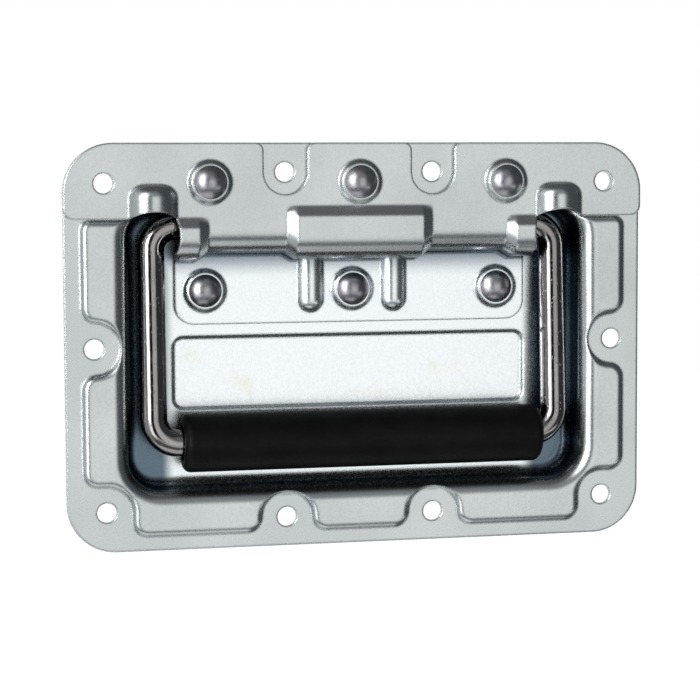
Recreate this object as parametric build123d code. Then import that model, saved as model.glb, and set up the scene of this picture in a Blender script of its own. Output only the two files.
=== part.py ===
from build123d import *
import os
from math import atan2, cos, degrees, hypot, pi, radians, sin, sqrt, tan

# A recessed pull handle for a flight case. A pressed steel dish carries a sprung bow with a
# black grip, and a second pressing, riveted to the dish, rolls over the bow to make its hinge.
#
# X runs across the handle, Y into the case and Z up. The origin is the centre of the four
# corner screw holes, on the back face of the flange, where the handle seats on its case.
# Depths are measured from the front face of the flange and grow into the case.

# --- Driving sizes, in millimetres and degrees -----------------------------------------------

# Plate, with its screw holes set in from its edges
dish_sheet = 1.2
plate_width = 152.0
plate_height = 103.5
plate_corner_radius = 12.5
screw_hole_radius = 2.5
corner_hole_inset = 10.12
edge_hole_inset = 7.44
middle_hole_x = 19.43

# Recess, set in from the edges of the plate
recess_side_margin = 15.9
recess_top_margin = 16.15
recess_bottom_margin = 15.05
recess_corner_radius = 8.4
floor_depth = 10.0
floor_edge_radius = 3.0
mouth_radius = 4.0
panel_side_gap = 12.6
panel_bottom_gap = 19.6
panel_height = 19.3
panel_corner_radius = 3.0
panel_sink = 1.0
panel_slope = 50.0

# Raised band round the sides and bottom of the recess
band_height = 1.4
band_side_margin = 4.2
band_bottom_margin = 3.65
band_top_gap = 0.2
band_corner_radius = 2.5
band_slope = 60.0
band_edge_radius = 1.7
bay_radius = 6.5
bay_blend_radius = 3.9

# Bow, grip and springs
rod_radius = 3.5
bow_side_gap = 3.2
hinge_depth = 5.1
hinge_top_gap = 1.5
upper_bend_radius = 6.0
lower_bend_radius = 6.5
rod_end_gap = 2.0
grip_radius = 7.5
grip_end_gap = 5.9
grip_offset = 1.3
grip_bottom_gap = 4.5
grip_edge_radius = 2.0
grip_mouth_radius = 4.7
grip_mouth_depth = 3.4
grip_play = 0.02
running_gap = 0.3
wire_radius = 0.55
coil_play = 0.15
coil_pitch = 1.3
coil_turns = 6
spring_leg_length = 5.7
slot_play = 0.1

# Hinge cover
cover_sheet = 1.5
wing_height = 19.15
wing_corner_radius = 2.6
roll_end_gap = 2.3
roll_bend_radius = 6.0
roll_clearance = 2.0
roll_foot_radius = 1.25
mouth_relief = 0.8
lap_step = 0.8
lap_length = 18.45
lap_corner_radius = 5.0
swell = 1.6
swell_run = 2.65
housing_half_width = 19.2
housing_rise = 5.1
bump_length = 8.4
bump_rise = 2.3
hood_width = 12.3
hood_height = 3.8
hood_rise = 6.8
hood_edge_radius = 3.4
rib_x = 11.1
rib_width = 6.9
rib_height = 2.0
rib_length = 15.8
notch_play = 3.2
notch_flare_radius = 2.0

# Rivets and the raised bosses that they sit on
boss_foot_radius = 5.75
boss_top_radius = 4.7
boss_height = 1.2
rivet_spacing = 38.95
top_rivet_inset = 10.0
floor_rivet_drop = 9.7
rivet_shank_radius = 2.0
rivet_head_radius = 4.25
rivet_head_height = 2.0
rivet_tail_radius = 3.1
rivet_tail_height = 1.2
rivet_play = 0.05

# --- Places and sizes that follow from those above -------------------------------------------

corner_hole_x = plate_width / 2 - corner_hole_inset
corner_hole_z = plate_height / 2 - corner_hole_inset
side_hole_x = plate_width / 2 - edge_hole_inset
middle_hole_z = plate_height / 2 - edge_hole_inset
recess_half_width = plate_width / 2 - recess_side_margin
recess_top = plate_height / 2 - recess_top_margin
recess_bottom = recess_bottom_margin - plate_height / 2
panel_half_width = recess_half_width - panel_side_gap
panel_bottom = recess_bottom + panel_bottom_gap
band_half_width = plate_width / 2 - band_side_margin
band_bottom = band_bottom_margin - plate_height / 2

hinge_y = hinge_depth - dish_sheet
hinge_z = recess_top - hinge_top_gap - rod_radius
bow_half_width = recess_half_width - bow_side_gap - rod_radius
grip_depth = floor_depth - running_gap - grip_radius
grip_z = recess_bottom + grip_bottom_gap + grip_radius
grip_length = 2 * (bow_half_width - grip_end_gap)
coil_radius = rod_radius + coil_play + wire_radius
tang_x = rod_end_gap / 2 + 2 * wire_radius

cover_front = -cover_sheet
lap_front = floor_depth - cover_sheet
lip_z = hinge_z + rod_radius + running_gap
wing_bottom = plate_height / 2 - wing_height
roll_half_width = bow_half_width - rod_radius - roll_end_gap
roll_underside = hinge_z - rod_radius - roll_clearance - cover_sheet
lap_half_width = roll_half_width - lap_step
lap_bottom = roll_underside - lap_length
hood_x = bow_half_width
hood_top = lip_z + hood_rise
housing_top = hinge_z + housing_rise
bump_top = hinge_z + bump_rise
bump_inner_x = roll_half_width - bump_length
rib_bottom = roll_underside - rib_length
notch_radius = screw_hole_radius + notch_play
top_rivet_z = plate_height / 2 - top_rivet_inset
floor_rivet_z = roll_underside - floor_rivet_drop

sky_depth = -20.0
back_depth = floor_depth + panel_sink + 3 * dish_sheet


# --- Helpers -------------------------------------------------------------------------------

def y_at(depth):
    """Y of a depth below the front face of the flange."""
    return depth - dish_sheet


def front_plane(depth):
    """Plane facing the user at a depth, with its x along X and its y along Z."""
    return Plane(origin=(0, y_at(depth), 0), x_dir=(1, 0, 0), z_dir=(0, -1, 0))


def prism(sketch, near, far, taper=0.0):
    """Solid between two depths under a sketch drawn as the user sees it."""
    return extrude(front_plane(far) * sketch, amount=far - near, taper=taper)


def span(left, right, bottom, top, corner_radius=0.0):
    """Rectangle between two X and two Z values."""
    width, height = right - left, top - bottom
    shape = RectangleRounded(width, height, corner_radius) if corner_radius else Rectangle(width, height)
    return Pos((left + right) / 2, (bottom + top) / 2) * shape


def rod(radius, near, far, x, z):
    """Round bar along Y between two depths."""
    return prism(Pos(x, z) * Circle(radius), near, far)


def both_sides(x):
    return (-x, x)


def boss(face_depth, x, z, off):
    """Round seat pressed out of a flat at face_depth for one rivet, with its skin moved back by off."""
    slope = atan2(boss_height, boss_foot_radius - boss_top_radius)
    shrink = off * tan(slope / 2)
    spread = dish_sheet / tan(slope)
    foot = Pos(x, z) * Circle(boss_foot_radius - shrink + spread)
    top = face_depth + off - boss_height
    return prism(foot, top, top + boss_height + dish_sheet, taper=90 - degrees(slope))


# --- Dish ----------------------------------------------------------------------------------

def plate_outline():
    return RectangleRounded(plate_width, plate_height, plate_corner_radius)


def recess_air(off):
    """Space in the recess, grown by off: upright walls, a round floor edge and the sunk panel."""
    outline = span(
        -recess_half_width - off,
        recess_half_width + off,
        recess_bottom - off,
        recess_top + off,
        recess_corner_radius + off,
    )
    pocket = prism(outline, sky_depth, floor_depth + off)
    pocket = fillet(pocket.edges().group_by(Axis.Y)[-1], floor_edge_radius + off)
    grow = off * tan(radians(panel_slope / 2))
    panel = span(
        -panel_half_width - grow,
        panel_half_width + grow,
        panel_bottom - grow,
        panel_bottom + panel_height + grow,
        panel_corner_radius + grow,
    )
    sink = extrude(
        front_plane(floor_depth + off) * panel,
        amount=-panel_sink,
        taper=90 - panel_slope,
    )
    return pocket + sink


def block_with_mouth(level, radius, off):
    """Solid behind a flat face, with the recess sunk in it and the mouth of the recess rounded."""
    block = prism(Rectangle(2 * plate_width, 2 * plate_height), level, back_depth)
    block -= recess_air(off)
    face = block.faces().filter_by(Axis.Y).sort_by(Axis.Y)[0]
    return fillet(face.inner_wires()[0].edges(), radius)


def band_outline():
    """Foot of the raised band, stepped back in a round bay at each screw hole."""
    outline = span(-band_half_width, band_half_width, band_bottom, wing_bottom - band_top_gap)
    outline = fillet(outline.vertices().group_by(Axis.Y)[-1], band_corner_radius)
    side = 4 * bay_radius
    for x in both_sides(corner_hole_x + bay_radius):
        outline -= Pos(x, -corner_hole_z - bay_radius) * RectangleRounded(side, side, bay_radius)
    for x in both_sides(side_hole_x):
        outline -= Pos(x, 0) * Circle(bay_radius)
    for x in both_sides(middle_hole_x):
        outline -= Pos(x, -middle_hole_z) * Circle(bay_radius)
    bay_mouths = [v for v in outline.vertices() if is_bay_mouth(v)]
    return fillet(bay_mouths, bay_blend_radius)


def is_bay_mouth(vertex):
    """True where the edge of a bay meets the side or the foot of the band."""
    on_side = abs(abs(vertex.X) - band_half_width) < 0.01 and vertex.Y < wing_bottom / 2
    on_foot = abs(vertex.Y - band_bottom) < 0.01
    return on_side or on_foot


def raised_band(off):
    """Sloped band with a rounded brow, run down below the flange so that it meets the recess."""
    below = mouth_radius - band_height
    shift = below / tan(radians(band_slope)) - off * tan(radians(band_slope / 2))
    foot = offset(band_outline(), amount=shift)
    band = prism(foot, off - band_height, off + below, taper=90 - band_slope)
    return fillet(band.faces().sort_by(Axis.Y)[0].edges(), band_edge_radius - off)


def behind_dish_skin(off):
    """Everything behind the front skin of the dish once that skin is moved back by off.

    The bosses under the rivets nest in those of the cover, which lies on the dish there.
    """
    band = block_with_mouth(off - band_height, mouth_radius - off, off) & raised_band(off)
    body = block_with_mouth(off, mouth_radius - band_height - off, off) + band
    for (row, _), (x, z) in rivet_places().items():
        body += boss(cover_front if row == "top" else lap_front, x, z, cover_sheet + off)
    return body


def corner_screw_holes(near, far):
    """The four corner holes, as bars that cut what lies between two depths."""
    return [rod(screw_hole_radius, near, far, x, z)
            for x in both_sides(corner_hole_x) for z in both_sides(corner_hole_z)]


def rivet_places():
    """X and Z of the six rivets, by the name of the row and the place in it."""
    rows = {"top": top_rivet_z, "floor": floor_rivet_z}
    places = {"left": -rivet_spacing, "middle": 0.0, "right": rivet_spacing}
    return {(row, place): (x, z) for row, z in rows.items() for place, x in places.items()}


def rivet_holes(near):
    radius = rivet_shank_radius + rivet_play
    return [rod(radius, near, back_depth, x, z) for x, z in rivet_places().values()]


def make_dish():
    """Pressing of one thickness: flange, raised band, recess and sunk panel."""
    skin = behind_dish_skin(0) - behind_dish_skin(dish_sheet)
    dish = skin & prism(plate_outline(), sky_depth, back_depth)
    dish -= corner_screw_holes(sky_depth, back_depth)
    for x in both_sides(middle_hole_x):
        for z in both_sides(middle_hole_z):
            dish -= rod(screw_hole_radius, -band_height, back_depth, x, z)
    for x in both_sides(side_hole_x):
        dish -= rod(screw_hole_radius, -band_height, back_depth, x, 0)
    return dish - rivet_holes(-band_height)


# --- Hinge cover -----------------------------------------------------------------------------

def side_section(x, rise, shoulder_top, off):
    """Side view of the cover at one X: down the front, round the roll and down the lap.

    rise is how far the roll swells there, forwards and down, and shoulder_top is where the
    swelling starts below the flat front.
    """
    front = cover_front + off
    top = plate_height
    shoulder = shoulder_top - off * tan(atan2(swell, swell_run) / 2)
    bend_z = roll_underside + roll_bend_radius - rise
    bend_depth = cover_front + roll_bend_radius - rise
    radius = roll_bend_radius - off
    foot = Vector(lap_front - roll_foot_radius, roll_underside - roll_foot_radius)
    foot_radius = roll_foot_radius + off
    turn = radius * sqrt(0.5)
    foot_turn = foot_radius * sqrt(0.5)
    outline = [
        Polyline(
            (bend_depth - radius, bend_z),
            (front - rise, shoulder - swell_run),
            (front, shoulder),
            (front, top),
            (back_depth, top),
            (back_depth, -plate_height),
            (lap_front + off, -plate_height),
            (foot.X + foot_radius, foot.Y - rise),
        ),
        ThreePointArc(
            (foot.X + foot_radius, foot.Y - rise),
            (foot.X + foot_turn, foot.Y - rise + foot_turn),
            (foot.X, foot.Y - rise + foot_radius),
        ),
        Line((foot.X, foot.Y - rise + foot_radius), (bend_depth, bend_z - radius)),
        ThreePointArc(
            (bend_depth, bend_z - radius),
            (bend_depth - turn, bend_z - turn),
            (bend_depth - radius, bend_z),
        ),
    ]
    face = Face(Wire([edge for line in outline for edge in line.edges()]))
    return Plane(origin=(x, y_at(0), 0), x_dir=(0, 1, 0), z_dir=(1, 0, 0)) * face


def roll(off):
    """The roll over the bow, from mouth to mouth."""
    half = roll_half_width + swell
    ends = [side_section(x, 0.0, housing_top, off) for x in both_sides(half)]
    return loft(ends, ruled=True)


def swelling(inner_x, outer_x, shoulder_top, off):
    """Stretch of roll that swells between two X values, outwards from inner_x in swell_run."""
    return loft(
        [
            side_section(inner_x, 0.0, shoulder_top, off),
            side_section(inner_x + swell_run, swell, shoulder_top, off),
            side_section(outer_x, swell, shoulder_top, off),
        ],
        ruled=True,
    )


def housing(off):
    """Swollen middle of the roll, over the springs, with both ends sloped."""
    foot = housing_half_width - off * tan(atan2(swell, swell_run) / 2)
    crown = foot - swell_run
    stations = [(-foot, 0.0), (-crown, swell), (crown, swell), (foot, 0.0)]
    return loft([side_section(x, rise, housing_top, off) for x, rise in stations], ruled=True)


def end_bump(off):
    """Swollen right-hand end of the roll, open at the mouth."""
    inner = bump_inner_x + off * tan(atan2(swell, swell_run) / 2)
    return swelling(inner, roll_half_width + swell, bump_top, off)


def hood(off):
    """Half-round hood over the right-hand elbow of the bow, square to the lip and round on top."""
    radius = (hood_width**2 / 4 + hood_height**2) / (2 * hood_height)
    centre = cover_front - hood_height + radius
    section = Pos(hood_x, y_at(centre)) * Circle(radius - off)
    column = extrude(Pos(0, 0, wing_bottom) * section, amount=hood_top - off - wing_bottom)
    return fillet(column.edges().group_by(Axis.Z)[-1], hood_edge_radius - off)


def rib(off):
    """Half-round stiffening rib down the lap, with a round lower end."""
    radius = (rib_width**2 / 4 + rib_height**2) / (2 * rib_height)
    axis_y = y_at(lap_front - rib_height + radius)
    end_z = rib_bottom + rib_width / 2
    length = roll_underside - end_z
    column = Pos(rib_x, axis_y, end_z + length / 2) * Cylinder(radius - off, length)
    return column + Pos(rib_x, axis_y, end_z) * Sphere(radius - off)


def behind_cover_skin(off):
    """Everything behind the front skin of the cover once that skin is moved back by off."""
    right = [end_bump(off), hood(off), rib(off)]
    body = roll(off) + housing(off)
    above_roll = span(-plate_width, plate_width, roll_underside + roll_bend_radius, plate_height)
    body += prism(above_roll, cover_front + off, back_depth)
    body += right + [mirror(piece, about=Plane.YZ) for piece in right]
    for (row, _), (x, z) in rivet_places().items():
        body += boss(cover_front if row == "top" else lap_front, x, z, off)
    return body


def cover_blank():
    """Outline of the cover as the user sees it, with its notches and the arches over the bow."""
    blank = wings() + rolled_part() + lap()
    for x in both_sides(middle_hole_x):
        blank -= span(x - notch_radius, x + notch_radius, middle_hole_z, plate_height)
        blank -= Pos(x, middle_hole_z) * Circle(notch_radius)
    flares = [v for v in blank.vertices() if is_notch_mouth(v)]
    return fillet(flares, notch_flare_radius)


def is_notch_mouth(vertex):
    """True where a notch opens through the top edge."""
    return abs(vertex.Y - plate_height / 2) < 0.01 and abs(vertex.X) < middle_hole_x + 2 * notch_radius


def wings():
    """Full width of the cover above the recess, with an arch over each arm of the bow."""
    shape = span(-plate_width / 2, plate_width / 2, wing_bottom, plate_height / 2)
    shape = fillet(shape.vertices().group_by(Axis.Y)[-1], plate_corner_radius)
    shape = fillet(shape.vertices().group_by(Axis.Y)[0], wing_corner_radius)
    rise = lip_z - wing_bottom
    radius = (hood_width**2 / 4 + rise**2) / (2 * rise)
    for x in both_sides(hood_x):
        shape -= Pos(x, lip_z - radius) * Circle(radius)
    return shape


def rolled_part():
    """Front view of the roll, with the edge of each mouth bowed inwards."""
    top = plate_height / 4 + wing_bottom / 2
    shape = span(-roll_half_width, roll_half_width, roll_underside, top)
    half_height = (wing_bottom - roll_underside) / 2
    radius = (half_height**2 + mouth_relief**2) / (2 * mouth_relief)
    for x in both_sides(roll_half_width - mouth_relief + radius):
        bow = Pos(x, roll_underside + half_height) * Circle(radius)
        shape -= bow & span(-plate_width, plate_width, roll_underside, wing_bottom)
    return shape


def lap():
    """Flat tongue that lies on the floor of the recess below the roll."""
    shape = span(-lap_half_width, lap_half_width, lap_bottom, roll_underside + swell)
    return fillet(shape.vertices().group_by(Axis.Y)[0], lap_corner_radius)


def make_cover():
    """Pressing of one thickness: wings, hoods, roll, housing, bumps, ribs, bosses and lap."""
    skin = behind_cover_skin(0) - behind_cover_skin(cover_sheet)
    cover = skin & prism(cover_blank(), sky_depth, back_depth)
    cover -= corner_screw_holes(sky_depth, back_depth)
    return cover - rivet_holes(sky_depth)


# --- Rivets ----------------------------------------------------------------------------------

def dome(radius, height, seat_depth, x, z):
    """Round head that stands height out of a seat and is flat on it."""
    ball_radius = (radius**2 + height**2) / (2 * height)
    ball = Pos(x, y_at(seat_depth - height + ball_radius), z) * Sphere(ball_radius)
    return ball & rod(2 * radius, seat_depth - 2 * height, seat_depth, x, z)


def make_rivet(row, x, z):
    """Dome-headed rivet through the cover and the dish, upset in the hollow behind the boss."""
    seat = (cover_front if row == "top" else lap_front) - boss_height
    tail_seat = seat + cover_sheet + dish_sheet
    rivet = dome(rivet_head_radius, rivet_head_height, seat, x, z)
    rivet += rod(rivet_shank_radius, seat, tail_seat, x, z)
    tail = rod(rivet_tail_radius, tail_seat, tail_seat + rivet_tail_height, x, z)
    return rivet + fillet(tail.edges().group_by(Axis.Y)[-1], rivet_tail_height / 2)


# --- Bow and grip ----------------------------------------------------------------------------

def bow_plane():
    """Plane of the bow at rest: x along the hinge, y down the arms to the grip."""
    down = Vector(0, grip_depth - hinge_depth, grip_z - hinge_z).normalized()
    return Plane(origin=(0, hinge_y, hinge_z), x_dir=(1, 0, 0), z_dir=Vector(1, 0, 0).cross(down))


def make_bow():
    """One bent rod whose two ends meet, with a small gap, in the middle of the hinge."""
    drop = hypot(grip_depth - hinge_depth, grip_z - hinge_z)
    end = rod_end_gap / 2
    path = FilletPolyline(
        (end, 0),
        (bow_half_width, 0),
        (bow_half_width, drop),
        (-bow_half_width, drop),
        (-bow_half_width, 0),
        (-end, 0),
        radius=[upper_bend_radius, lower_bend_radius, lower_bend_radius, upper_bend_radius],
    )
    path = bow_plane() * path
    bow = sweep(Plane(origin=path @ 0, z_dir=path % 0) * Circle(rod_radius), path=path)
    slot_end = tang_x + wire_radius + slot_play
    slot = Box(2 * slot_end, 4 * rod_radius, 2 * (wire_radius + slot_play))
    return bow - Pos(0, hinge_y, hinge_z) * slot


def make_grip():
    """Moulded tube fixed on the lower run of the bow, with a wider mouth round the rod."""
    along = Pos(grip_offset, y_at(grip_depth), grip_z) * Rot(0, 90, 0)
    grip = Cylinder(grip_radius, grip_length)
    ends = grip.edges().filter_by(GeomType.CIRCLE)
    grip = fillet(ends, grip_edge_radius)
    grip -= Cylinder(rod_radius + grip_play, grip_length)
    for end in both_sides((grip_length - grip_mouth_depth) / 2):
        grip -= Pos(0, 0, end) * Cylinder(grip_mouth_radius, grip_mouth_depth)
    return along * grip


# --- Springs ---------------------------------------------------------------------------------

def coil_path():
    """Centre line of the coils, a left-hand helix up Z drawn as quarter turns."""
    quarters = 4 * coil_turns

    def at(quarter):
        angle = -quarter * pi / 2
        return (coil_radius * cos(angle), coil_radius * sin(angle), coil_pitch * quarter / 4)

    return Wire([ThreePointArc(at(q), at(q + 0.5), at(q + 1)) for q in range(quarters)])


def make_right_spring():
    """Torsion spring round the rod: a tang in the slot of the rod's end, coils, and a leg on the floor."""
    path = coil_path()
    length = coil_pitch * coil_turns
    spring = sweep(Plane(origin=path @ 0, z_dir=path % 0) * Circle(wire_radius), path=path)
    for z in (0, length):
        spring += Pos(coil_radius, 0, z) * Sphere(wire_radius)
    reach = coil_radius + rod_radius / 2
    spring += Pos(coil_radius - reach / 2, 0, 0) * Rot(0, 90, 0) * Cylinder(wire_radius, reach)
    leg = spring_leg_length
    spring += Pos(coil_radius, -leg / 2, length) * Rot(90, 0, 0) * Cylinder(wire_radius, leg)
    return Plane(origin=(tang_x, hinge_y, hinge_z), x_dir=(0, 1, 0), z_dir=(1, 0, 0)) * spring


# --- Sub-parts -------------------------------------------------------------------------------

def make_parts():
    right_spring = make_right_spring()
    parts = {
        "dish": make_dish(),
        "hinge_cover": make_cover(),
        "bow": make_bow(),
        "grip": make_grip(),
        "spring_left": mirror(right_spring, about=Plane.YZ),
        "spring_right": right_spring,
    }
    for (row, place), (x, z) in rivet_places().items():
        parts[f"rivet_{row}_{place}"] = make_rivet(row, x, z)
    return parts


os.makedirs("parts", exist_ok=True)
for name, part in make_parts().items():
    export_step(part, f"parts/{name}.step")
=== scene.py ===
import math

import bmesh
import bpy
from mathutils import Matrix, Vector

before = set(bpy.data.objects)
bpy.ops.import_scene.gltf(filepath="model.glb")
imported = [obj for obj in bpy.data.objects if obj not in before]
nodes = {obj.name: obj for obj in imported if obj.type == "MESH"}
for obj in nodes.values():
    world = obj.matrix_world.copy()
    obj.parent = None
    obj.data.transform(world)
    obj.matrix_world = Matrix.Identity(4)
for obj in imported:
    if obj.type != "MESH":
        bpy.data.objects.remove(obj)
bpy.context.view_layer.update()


# --- Dish ------------------------------------------------------------------------------------
# The steel pressing that carries everything: flange, raised band, recess and sunk panel, drawn
# from cold-rolled sheet and zinc plated all over. The deep blue on its steep walls is no plating:
# it stands in for the dark surroundings that they mirror.

def shader_of(material):
    """The nodes and links of an emptied material, with a new Principled BSDF wired to its output."""
    material.use_nodes = True
    tree = material.node_tree
    tree.nodes.clear()
    surface = tree.nodes.new("ShaderNodeOutputMaterial")
    shader = tree.nodes.new("ShaderNodeBsdfPrincipled")
    tree.links.new(shader.outputs["BSDF"], surface.inputs["Surface"])
    return tree, shader


def noise(tree, size, detail=3.0, stretch=(1, 1, 1)):
    """Noise over the piece's own coordinates, mostly 0.3 to 0.7, with features of about that size."""
    coordinates = tree.nodes.new("ShaderNodeTexCoord")
    mapping = tree.nodes.new("ShaderNodeMapping")
    mapping.inputs["Scale"].default_value = stretch
    texture = tree.nodes.new("ShaderNodeTexNoise")
    texture.inputs["Scale"].default_value = 1 / size
    texture.inputs["Detail"].default_value = detail
    tree.links.new(coordinates.outputs["Object"], mapping.inputs["Vector"])
    tree.links.new(mapping.outputs["Vector"], texture.inputs["Vector"])
    return texture.outputs["Fac"]


def spread(tree, value, low, high, to_low, to_high):
    """A value between low and high, carried over to another range and held at its ends."""
    node = tree.nodes.new("ShaderNodeMapRange")
    node.interpolation_type = "SMOOTHSTEP"
    for name, number in (("From Min", low), ("From Max", high), ("To Min", to_low), ("To Max", to_high)):
        node.inputs[name].default_value = number
    tree.links.new(value, node.inputs["Value"])
    return node.outputs["Result"]


def blended(tree, share, first, second):
    """Colour between two others. Each is a colour or a socket."""
    node = tree.nodes.new("ShaderNodeMix")
    node.data_type = "RGBA"
    tree.links.new(share, node.inputs["Factor"])
    for name, colour in (("A", first), ("B", second)):
        socket = [s for s in node.inputs if s.name == name and s.type == "RGBA"][0]
        if isinstance(colour, bpy.types.NodeSocket):
            tree.links.new(colour, socket)
        else:
            socket.default_value = (*colour, 1)
    return [s for s in node.outputs if s.type == "RGBA"][0]


def combined(tree, operation, *values):
    """One or two values or sockets put through a maths node."""
    node = tree.nodes.new("ShaderNodeMath")
    node.operation = operation
    for socket, value in zip(node.inputs, values):
        if isinstance(value, bpy.types.NodeSocket):
            tree.links.new(value, socket)
        else:
            socket.default_value = value
    return node.outputs["Value"]


def bumped(tree, shader, height, distance):
    """Bump of that depth in metres, laid over any bump that is there already."""
    node = tree.nodes.new("ShaderNodeBump")
    node.inputs["Distance"].default_value = distance
    tree.links.new(height, node.inputs["Height"])
    if shader.inputs["Normal"].links:
        tree.links.new(shader.inputs["Normal"].links[0].from_socket, node.inputs["Normal"])
    tree.links.new(node.outputs["Normal"], shader.inputs["Normal"])


def recess_tones(tree, front_tone, painted_floor_light):
    """Painted light and shade by place and facing, and how far a face looks to the front, from 0 to 1.
    """
    coordinates = tree.nodes.new("ShaderNodeTexCoord")
    place = tree.nodes.new("ShaderNodeSeparateXYZ")
    facing = tree.nodes.new("ShaderNodeSeparateXYZ")
    tree.links.new(coordinates.outputs["Object"], place.inputs["Vector"])
    tree.links.new(coordinates.outputs["Normal"], facing.inputs["Vector"])
    across, depth, height = (place.outputs[axis] for axis in "XYZ")
    to_back, steep, flat = facing.outputs["Y"], 0.3, 0.85

    # Painted light: a brighter tone from the level of the floor, which is flat and faces the front.
    front_level, floor_level = 0.0015, 0.0065
    on_floor = spread(tree, depth, front_level, floor_level, 0, 1)
    in_front = spread(tree, to_back, -steep, steep, 1, 0)
    tone = blended(tree, on_floor, front_tone, painted_floor_light)

    # Painted shade in blue on what is steep and below the flange, beside the lap, and under the roll.
    steepness = spread(tree, combined(tree, "ABSOLUTE", to_back), steep, flat, 1, 0)
    skin_level, wall_level, wall_strength = -0.0005, 0.0025, 0.94
    below_flange = spread(tree, depth, skin_level, wall_level, 0, wall_strength)
    walls = combined(tree, "MULTIPLY", steepness, below_flange)
    lap_edge, arm = 0.0466, 0.0505
    beside_lap = spread(tree, combined(tree, "ABSOLUTE", across), lap_edge, arm, 0, 0.9)
    lap_top, roll_underside = 0.0165, 0.0240
    under_roll = spread(tree, height, lap_top, roll_underside, 0, 0.8)
    corners = combined(tree, "MAXIMUM", beside_lap, under_roll)
    corners = combined(tree, "MULTIPLY", corners, on_floor)
    corners = combined(tree, "MULTIPLY", corners, in_front)
    painted_shade_blue = (0.035, 0.082, 0.125)
    return blended(tree, combined(tree, "MAXIMUM", walls, corners), tone, painted_shade_blue), in_front


def zinc_plate(material, pale, dull, painted_floor_light, roughness):
    """Zinc over rolled sheet: two drifting greys in front, painted light and shade in the recess, a fine
    grain.
    """
    tree, shader = shader_of(material)
    shader.inputs["Metallic"].default_value = 1.0
    drift_size, grain_size, ripple_size = 0.03, 0.0004, 0.008
    grain_depth, ripple_depth, edge_radius = 0.0000015, 0.00001, 0.0009
    drift = spread(tree, noise(tree, drift_size, 4.0), 0.35, 0.65, 0, 1)
    front_tone = blended(tree, drift, pale, dull)
    tint, in_front = recess_tones(tree, front_tone, painted_floor_light)
    tree.links.new(tint, shader.inputs["Base Color"])
    grain = noise(tree, grain_size, 2.0)
    satin = spread(tree, grain, 0.3, 0.7, roughness - 0.02, roughness + 0.04)
    tree.links.new(satin, shader.inputs["Roughness"])

    # Rounds the edges in shading only.
    pressed_edges = tree.nodes.new("ShaderNodeBevel")
    pressed_edges.samples = 6
    pressed_edges.inputs["Radius"].default_value = edge_radius
    tree.links.new(pressed_edges.outputs["Normal"], shader.inputs["Normal"])
    bumped(tree, shader, grain, grain_depth)
    bumped(tree, shader, noise(tree, ripple_size, 2.0), ripple_depth)
    return tree, shader, tint, in_front


def stained(tree, shader, tint, in_front, low, high):
    """Faint yellow stains on the front of the panel, faded out towards its edges."""
    coordinates = tree.nodes.new("ShaderNodeTexCoord")
    place = tree.nodes.new("ShaderNodeSeparateXYZ")
    tree.links.new(coordinates.outputs["Object"], place.inputs["Vector"])
    patch_size, strength, fade = 0.012, 0.28, 0.006
    straw = (0.80, 0.70, 0.45)
    patches = spread(tree, noise(tree, patch_size, 3.0), 0.56, 0.72, 0, strength)
    patches = combined(tree, "MULTIPLY", patches, in_front)
    for axis in ("X", "Z"):
        index = "XYZ".index(axis)
        for edge, inward in ((low[index], 1), (high[index], -1)):
            inside = spread(tree, place.outputs[axis], edge, edge + inward * fade, 0, 1)
            patches = combined(tree, "MULTIPLY", patches, inside)
    tree.links.new(blended(tree, patches, tint, straw), shader.inputs["Base Color"])


def finish(node, material):
    """Gives a frame node its finish."""
    node.data.materials.clear()
    node.data.materials.append(material)


dish_zinc = bpy.data.materials.new("dish_zinc")
dish_work = zinc_plate(
    dish_zinc,
    pale=(0.62, 0.66, 0.655),
    dull=(0.56, 0.60, 0.60),
    # Painted light: the brighter tone of the recess floor.
    painted_floor_light=(0.90, 0.95, 0.96),
    roughness=0.26,
)
panel_low = (-0.0475, 0, -0.0171)
panel_high = (0.0475, 0, 0.0022)
stained(*dish_work, panel_low, panel_high)
finish(nodes["dish"], dish_zinc)


# --- Hinge cover -----------------------------------------------------------------------------
# The second pressing, laid over the dish: wings, hoods, the roll that makes the hinge, and the
# lap with its ribs. The same zinc as the dish, a shade greyer and a little smoother.

cover_zinc = bpy.data.materials.new("cover_zinc")
# The same painted light and shade as the dish: a brighter recess floor, deep blue steep faces.
zinc_plate(
    cover_zinc,
    pale=(0.60, 0.64, 0.635),
    dull=(0.54, 0.57, 0.57),
    # Painted light: the brighter tone of the recess floor.
    painted_floor_light=(0.88, 0.93, 0.94),
    roughness=0.25,
)
finish(nodes["hinge_cover"], cover_zinc)


# --- Rivets ----------------------------------------------------------------------------------
# Six dome-headed steel rivets that hold the cover to the dish. Cold-formed and barrel-plated,
# with heads that are darker and more purple than the sheet.

def rivet_finish():
    """Satin plate in two drifting purple greys, with soft dents."""
    material = bpy.data.materials.new("rivet_steel")
    tree, shader = shader_of(material)
    shader.inputs["Metallic"].default_value = 1.0
    pale, dark = (0.46, 0.45, 0.48), (0.39, 0.38, 0.41)
    drift_size, grain_size, dent_size, dent_depth = 0.004, 0.0008, 0.0015, 0.00002
    drift = spread(tree, noise(tree, drift_size), 0.35, 0.65, 0, 1)
    tree.links.new(blended(tree, drift, pale, dark), shader.inputs["Base Color"])
    grain = noise(tree, grain_size, 2.0)
    tree.links.new(spread(tree, grain, 0.3, 0.7, 0.27, 0.36), shader.inputs["Roughness"])
    bumped(tree, shader, noise(tree, dent_size, 2.0), dent_depth)
    return material


rivet_steel = rivet_finish()
for name, node in nodes.items():
    if name.startswith("rivet_"):
        finish(node, rivet_steel)


# --- Springs ---------------------------------------------------------------------------------
# Two torsion springs wound round the rod inside the cover, where they are out of sight.
# Drawn spring wire, dark grey.

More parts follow.
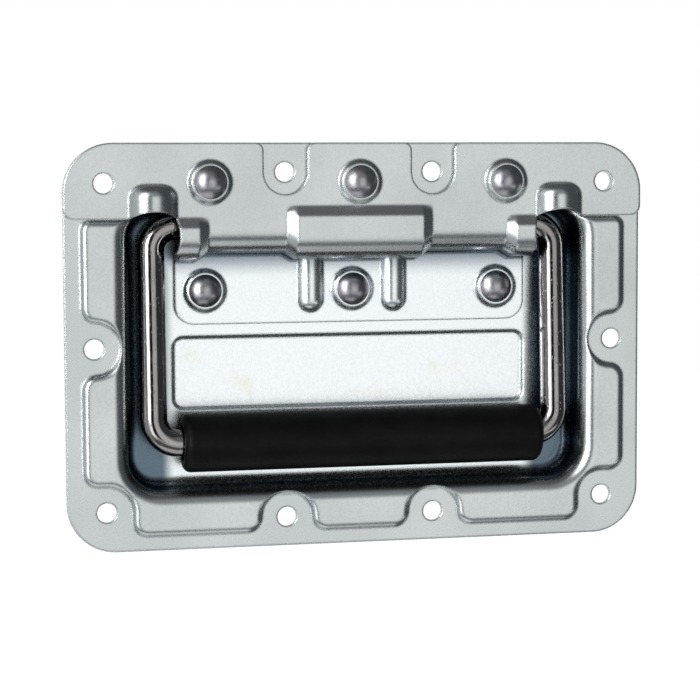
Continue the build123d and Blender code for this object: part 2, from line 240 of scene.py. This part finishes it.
def wire_finish():
    """Dark drawn steel, with its tone, gloss and bump all from the same faint lines."""
    material = bpy.data.materials.new("spring_wire")
    tree, shader = shader_of(material)
    shader.inputs["Metallic"].default_value = 1.0
    dark, pale = (0.30, 0.30, 0.31), (0.42, 0.42, 0.42)
    line_size, line_depth = 0.001, 0.00001
    lines = noise(tree, line_size, 2.0, stretch=(1, 4, 4))
    tree.links.new(blended(tree, lines, dark, pale), shader.inputs["Base Color"])
    tree.links.new(spread(tree, lines, 0.3, 0.7, 0.28, 0.42), shader.inputs["Roughness"])
    bumped(tree, shader, lines, line_depth)
    return material


spring_wire = wire_finish()
for side in ("left", "right"):
    finish(nodes[f"spring_{side}"], spring_wire)


# --- Bow -------------------------------------------------------------------------------------
# One round steel bar, bent into a rectangle and plated bright, with small nicks and a slight
# waviness from the bending.

def bow_finish():
    """Glossy plate in two drifting brown greys, with small sharp nicks and soft waves."""
    material = bpy.data.materials.new("bright_plate")
    tree, shader = shader_of(material)
    shader.inputs["Metallic"].default_value = 1.0
    pale, dark, nicked = (0.34, 0.32, 0.31), (0.26, 0.245, 0.24), (0.36, 0.34, 0.33)
    drift_size, nick_size, haze_size, wave_size = 0.015, 0.0009, 0.002, 0.003
    nick_depth, wave_depth = -0.00006, 0.00004
    drift = spread(tree, noise(tree, drift_size), 0.35, 0.65, 0, 1)
    plate = blended(tree, drift, pale, dark)
    nicks = spread(tree, noise(tree, nick_size), 0.64, 0.72, 0, 1)
    tree.links.new(blended(tree, nicks, plate, nicked), shader.inputs["Base Color"])
    haze = noise(tree, haze_size, 4.0)
    tree.links.new(spread(tree, haze, 0.3, 0.7, 0.06, 0.17), shader.inputs["Roughness"])
    bumped(tree, shader, nicks, nick_depth)
    bumped(tree, shader, noise(tree, wave_size), wave_depth)
    return material


finish(nodes["bow"], bow_finish())


# --- Grip ------------------------------------------------------------------------------------
# A black moulded sleeve fixed on the lower run of the bow. PVC with the fine, matt grain of
# its mould.

def grip_finish():
    """Near-black plastic with little shine and an even grain."""
    material = bpy.data.materials.new("black_pvc")
    tree, shader = shader_of(material)
    dark, pale = (0.003, 0.003, 0.003), (0.005, 0.005, 0.005)
    drift_size, grain_size, grain_depth = 0.01, 0.0007, 0.0001
    drift = spread(tree, noise(tree, drift_size), 0.35, 0.65, 0, 1)
    tree.links.new(blended(tree, drift, dark, pale), shader.inputs["Base Color"])
    grain = noise(tree, grain_size)
    tree.links.new(spread(tree, grain, 0.3, 0.7, 0.40, 0.56), shader.inputs["Roughness"])
    shader.inputs["Specular IOR Level"].default_value = 0.12
    bumped(tree, shader, grain, grain_depth)
    return material


finish(nodes["grip"], grip_finish())


# --- Studio ----------------------------------------------------------------------------------
# Not part of the handle: a pale floor well below it, a soft tent with a bright left side and a
# darker top and right side, and the camera, left of the handle and slightly above its middle.

def tent(card_list):
    """World that lights the handle: a gradient, bright below, under cards. Camera rays see white."""
    world = bpy.data.worlds.new("tent")
    bpy.context.scene.world = world
    world.use_nodes = True
    tree = world.node_tree
    tree.nodes.clear()

    direction = tree.nodes.new("ShaderNodeTexCoord")
    parts = tree.nodes.new("ShaderNodeSeparateXYZ")
    tree.links.new(direction.outputs["Generated"], parts.inputs["Vector"])
    x, y, z = (parts.outputs[axis] for axis in "XYZ")
    round_angle = combined(tree, "ARCTAN2", x, combined(tree, "MULTIPLY", y, -1))
    height_angle = combined(tree, "ARCSINE", z)

    def within(angle, middle, half, soft):
        away = combined(tree, "ABSOLUTE", combined(tree, "SUBTRACT", angle, math.radians(middle)))
        return spread(tree, away, math.radians(half), math.radians(half + soft), 1, 0)

    below, overhead = (0.95, 0.95, 0.97), (0.27, 0.28, 0.29)
    climb = spread(tree, height_angle, math.radians(-50), math.radians(45), 0, 1)
    light = blended(tree, climb, below, overhead)
    for middle, height, half_width, half_height, soft, colour in card_list:
        share = combined(
            tree,
            "MULTIPLY",
            within(round_angle, middle, half_width, soft),
            within(height_angle, height, half_height, soft),
        )
        light = blended(tree, share, light, colour)
    path = tree.nodes.new("ShaderNodeLightPath")
    seen = blended(tree, path.outputs["Is Camera Ray"], light, (1, 1, 1))
    background = tree.nodes.new("ShaderNodeBackground")
    tree.links.new(seen, background.inputs["Color"])
    surface = tree.nodes.new("ShaderNodeOutputWorld")
    tree.links.new(background.outputs["Background"], surface.inputs["Surface"])


# Each card: its middle round the handle and its height, in degrees, its half width and half
# height, its soft edge, and its colour. Round angles are 0 in front and positive to the right.
# The backdrop behind is two cards, one from each side, because the angles meet there.
tent([
    (95, 10, 58, 75, 12, (0.07, 0.08, 0.09)),  # dark right side
    (-105, 0, 40, 40, 15, (0.55, 0.57, 0.60)),  # dimmer rear of the left side
    (4, -2, 15, 10, 14, (1.12, 1.12, 1.12)),  # front card that the flat faces mirror
    (-38, 8, 8, 34, 7, (2.3, 2.3, 2.35)),  # tall bright strip at the front left
    (-17, 4, 9, 22, 5, (0.02, 0.03, 0.04)),  # dark gap round the camera
    (46, -36, 11, 10, 7, (1.6, 1.6, 1.6)),  # small bright card at the lower right
    (0, -42, 60, 9, 6, (0.16, 0.18, 0.19)),  # dark edge of the table in front
    (0, 85, 180, 22, 12, (0.10, 0.10, 0.11)),  # dark ceiling
    (180, 0, 20, 30, 10, (1.0, 1.0, 1.0)),
    (-180, 0, 20, 30, 10, (1.0, 1.0, 1.0)),
])


def left_softbox():
    """Upright rectangular softbox at the front left, turned to the handle."""
    place = Vector((-0.75, -0.75, 0.25))
    lamp = bpy.data.lights.new("left_box", "AREA")
    lamp.shape = "RECTANGLE"
    lamp.size = 0.35
    lamp.size_y = 0.7
    lamp.energy = 5.0
    box = bpy.data.objects.new("left_box", lamp)
    turned = (-place).to_track_quat("-Z", "Y").to_matrix().to_4x4()
    box.matrix_world = Matrix.Translation(place) @ turned
    bpy.context.scene.collection.objects.link(box)


left_softbox()


def make_floor(level=-0.30, size=6.0):
    """Plain pale floor, lifted to white for the camera, that keeps the soft shadow of the handle."""
    plane = bmesh.new()
    bmesh.ops.create_grid(plane, x_segments=1, y_segments=1, size=size / 2)
    bmesh.ops.translate(plane, verts=plane.verts, vec=(0, 0, level))
    mesh = bpy.data.meshes.new("floor")
    plane.to_mesh(mesh)
    plane.free()
    material = bpy.data.materials.new("pale_floor")
    tree, shader = shader_of(material)
    shader.inputs["Base Color"].default_value = (0.86, 0.86, 0.87, 1)
    shader.inputs["Roughness"].default_value = 0.9
    shader.inputs["Emission Color"].default_value = (1, 1, 1, 1)
    path = tree.nodes.new("ShaderNodeLightPath")
    lift = spread(tree, path.outputs["Is Camera Ray"], 0, 1, 0, 0.75)
    tree.links.new(lift, shader.inputs["Emission Strength"])
    mesh.materials.append(material)
    floor = bpy.data.objects.new("floor", mesh)
    floor.visible_glossy = False
    bpy.context.scene.collection.objects.link(floor)


make_floor()

camera_data = bpy.data.cameras.new("camera")
camera_data.lens = 112.13
camera_data.sensor_width = 36.0
camera = bpy.data.objects.new("camera", camera_data)
right = Vector((0.97416, -0.22584, -0.00466))
up = Vector((0.02241, 0.07610, 0.99685))
back = right.cross(up)
turn = Matrix((right, up, back)).transposed().to_4x4()
camera_place = Vector((-0.12912, -0.54805, 0.04300))
camera.matrix_world = Matrix.Translation(camera_place) @ turn
bpy.context.scene.collection.objects.link(camera)
bpy.context.scene.camera = camera
bpy.context.scene.view_settings.view_transform = "Standard"
